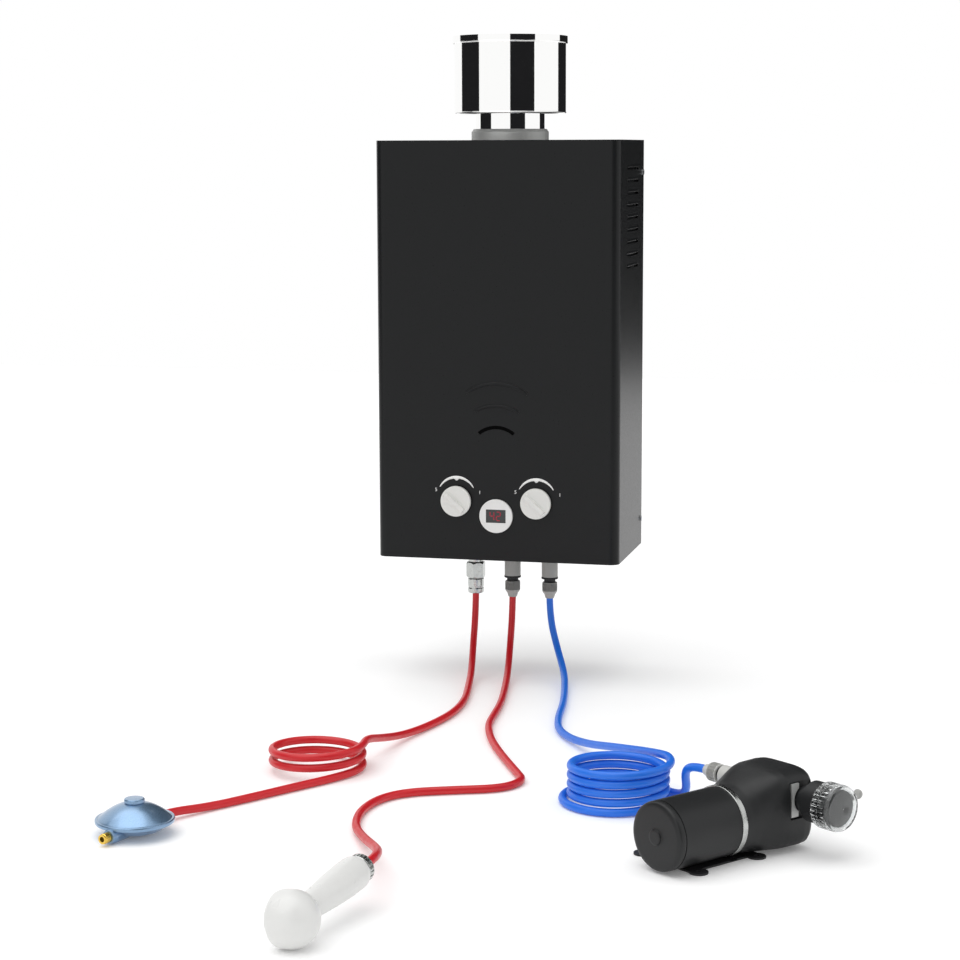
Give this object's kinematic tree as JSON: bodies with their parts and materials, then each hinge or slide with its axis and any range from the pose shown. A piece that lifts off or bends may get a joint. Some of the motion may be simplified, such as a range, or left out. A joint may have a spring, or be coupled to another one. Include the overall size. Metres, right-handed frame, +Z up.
{
  "type": "portable gas water heater",
  "caption": "Wall-hung portable gas water heater with a rain-capped flue, two knobs, a display, coiled gas and water hoses, a regulator, a hand shower and a pump with a strainer.",
  "frame": {"origin": "centre of the hanging hole on the rear face of the back plate", "axes": "+X to the right of a person facing the front, +Y into the wall, +Z up"},
  "size_m": [0.6985, 1.1022, 0.7605],
  "materials": {
    "black_paint": "satin powder coat",
    "zinc_steel": "zinc plated sheet",
    "polished_steel": "polished",
    "cast_alloy": "cast",
    "clear_pane": "clear",
    "copper": "drawn copper",
    "ceramic": "glazed ceramic",
    "coil_black": "moulded",
    "plated_rod": "turned",
    "battery_wrap": "sleeved cells",
    "knob_grey": "moulded, fine spark texture",
    "coupling_grey": "moulded nylon",
    "seal_rubber": "rubber ring",
    "red_hose": "extruded PVC",
    "blue_hose": "extruded PVC",
    "regulator_blue": "metallic lacquer",
    "brass": "turned brass",
    "white_abs": "moulded ABS",
    "pump_black": "satin black",
    "foot_rubber": "moulded rubber"
  },
  "bodies": {
    "root": {"front_cover": "black_paint", "back_plate": "zinc_steel", "casing_screws": "zinc_steel", "fume_hood": "zinc_steel", "burner_rack": "zinc_steel", "gas_manifold": "zinc_steel", "cap_drum": "polished_steel", "cap_neck": "polished_steel", "cap_lid": "polished_steel", "gas_hex_nut": "polished_steel", "gas_hose_ferrule": "polished_steel", "shower_nut": "polished_steel", "pump_band": "polished_steel", "flue_collar": "cast_alloy", "gas_valve": "cast_alloy", "water_valve": "cast_alloy", "port_clips": "cast_alloy", "sight_glass": "clear_pane", "heat_exchanger": "copper", "exchanger_pipe": "copper", "cold_pipe": "copper", "hot_pipe": "copper", "igniter_electrodes": "ceramic", "gas_solenoid": "coil_black", "micro_switch": "coil_black", "igniter_box": "coil_black", "battery_box": "coil_black", "display_module": "coil_black", "batteries": "battery_wrap", "display_bezel": "knob_grey", "water_couplings": "coupling_grey", "hose_nuts": "coupling_grey", "coupling_seals": "seal_rubber", "gas_hose_drop": "red_hose", "gas_hose_coil": "red_hose", "gas_hose_run": "red_hose", "shower_hose": "red_hose", "cold_hose_drop": "blue_hose", "cold_hose_coil": "blue_hose", "cold_hose_run": "blue_hose", "regulator_body": "regulator_blue", "regulator_dome": "regulator_blue", "regulator_cap": "regulator_blue", "shower_handle": "white_abs", "shower_face": "white_abs", "pump_coupling": "white_abs", "pump_hose_nut": "white_abs", "pump_end_cap": "pump_black", "pump_motor": "pump_black", "pump_head": "pump_black", "strainer_body": "pump_black", "pump_base": "foot_rubber"},
    "gas_knob": {"gas_knob": "knob_grey", "gas_spindle": "plated_rod"},
    "water_knob": {"water_knob": "knob_grey", "water_spindle": "plated_rod"},
    "battery_door": {"battery_door": "coil_black"},
    "push_rod": {"valve_push_rod": "plated_rod"},
    "inlet_nut": {"regulator_inlet_nut": "brass"},
    "bowl": {"strainer_bowl": "clear_pane"}
  },
  "joints": [
    {"name": "gas_knob_turn", "type": "hinge", "parent": "root", "child": "gas_knob", "pos_m": [-0.048, -0.164, -0.392], "axis": [0, 1, 0], "range_deg": [-25, 110]},
    {"name": "water_knob_turn", "type": "hinge", "parent": "root", "child": "water_knob", "pos_m": [0.048, -0.164, -0.392], "axis": [0, 1, 0], "range_deg": [-25, 110]},
    {"name": "battery_door_hinge", "type": "hinge", "parent": "root", "child": "battery_door", "pos_m": [0.105, -0.0367, -0.4604], "axis": [1, 0, 0], "range_deg": [0, 95]},
    {"name": "push_rod_slide", "type": "slide", "parent": "root", "child": "push_rod", "axis": [-1, 0, 0], "range_m": [0, 0.003], "stiffness_N_per_m": 150},
    {"name": "inlet_nut_turn", "type": "hinge", "parent": "root", "child": "inlet_nut", "pos_m": [-0.20221, -0.86058, -0.6044], "axis": [-0.2756, -0.9613, 0], "continuous": true},
    {"name": "bowl_twist", "type": "hinge", "parent": "root", "child": "bowl", "pos_m": [0.44487, -0.74808, -0.563], "axis": [0.7934, -0.6088, 0], "range_deg": [0, 60]}
  ]
}
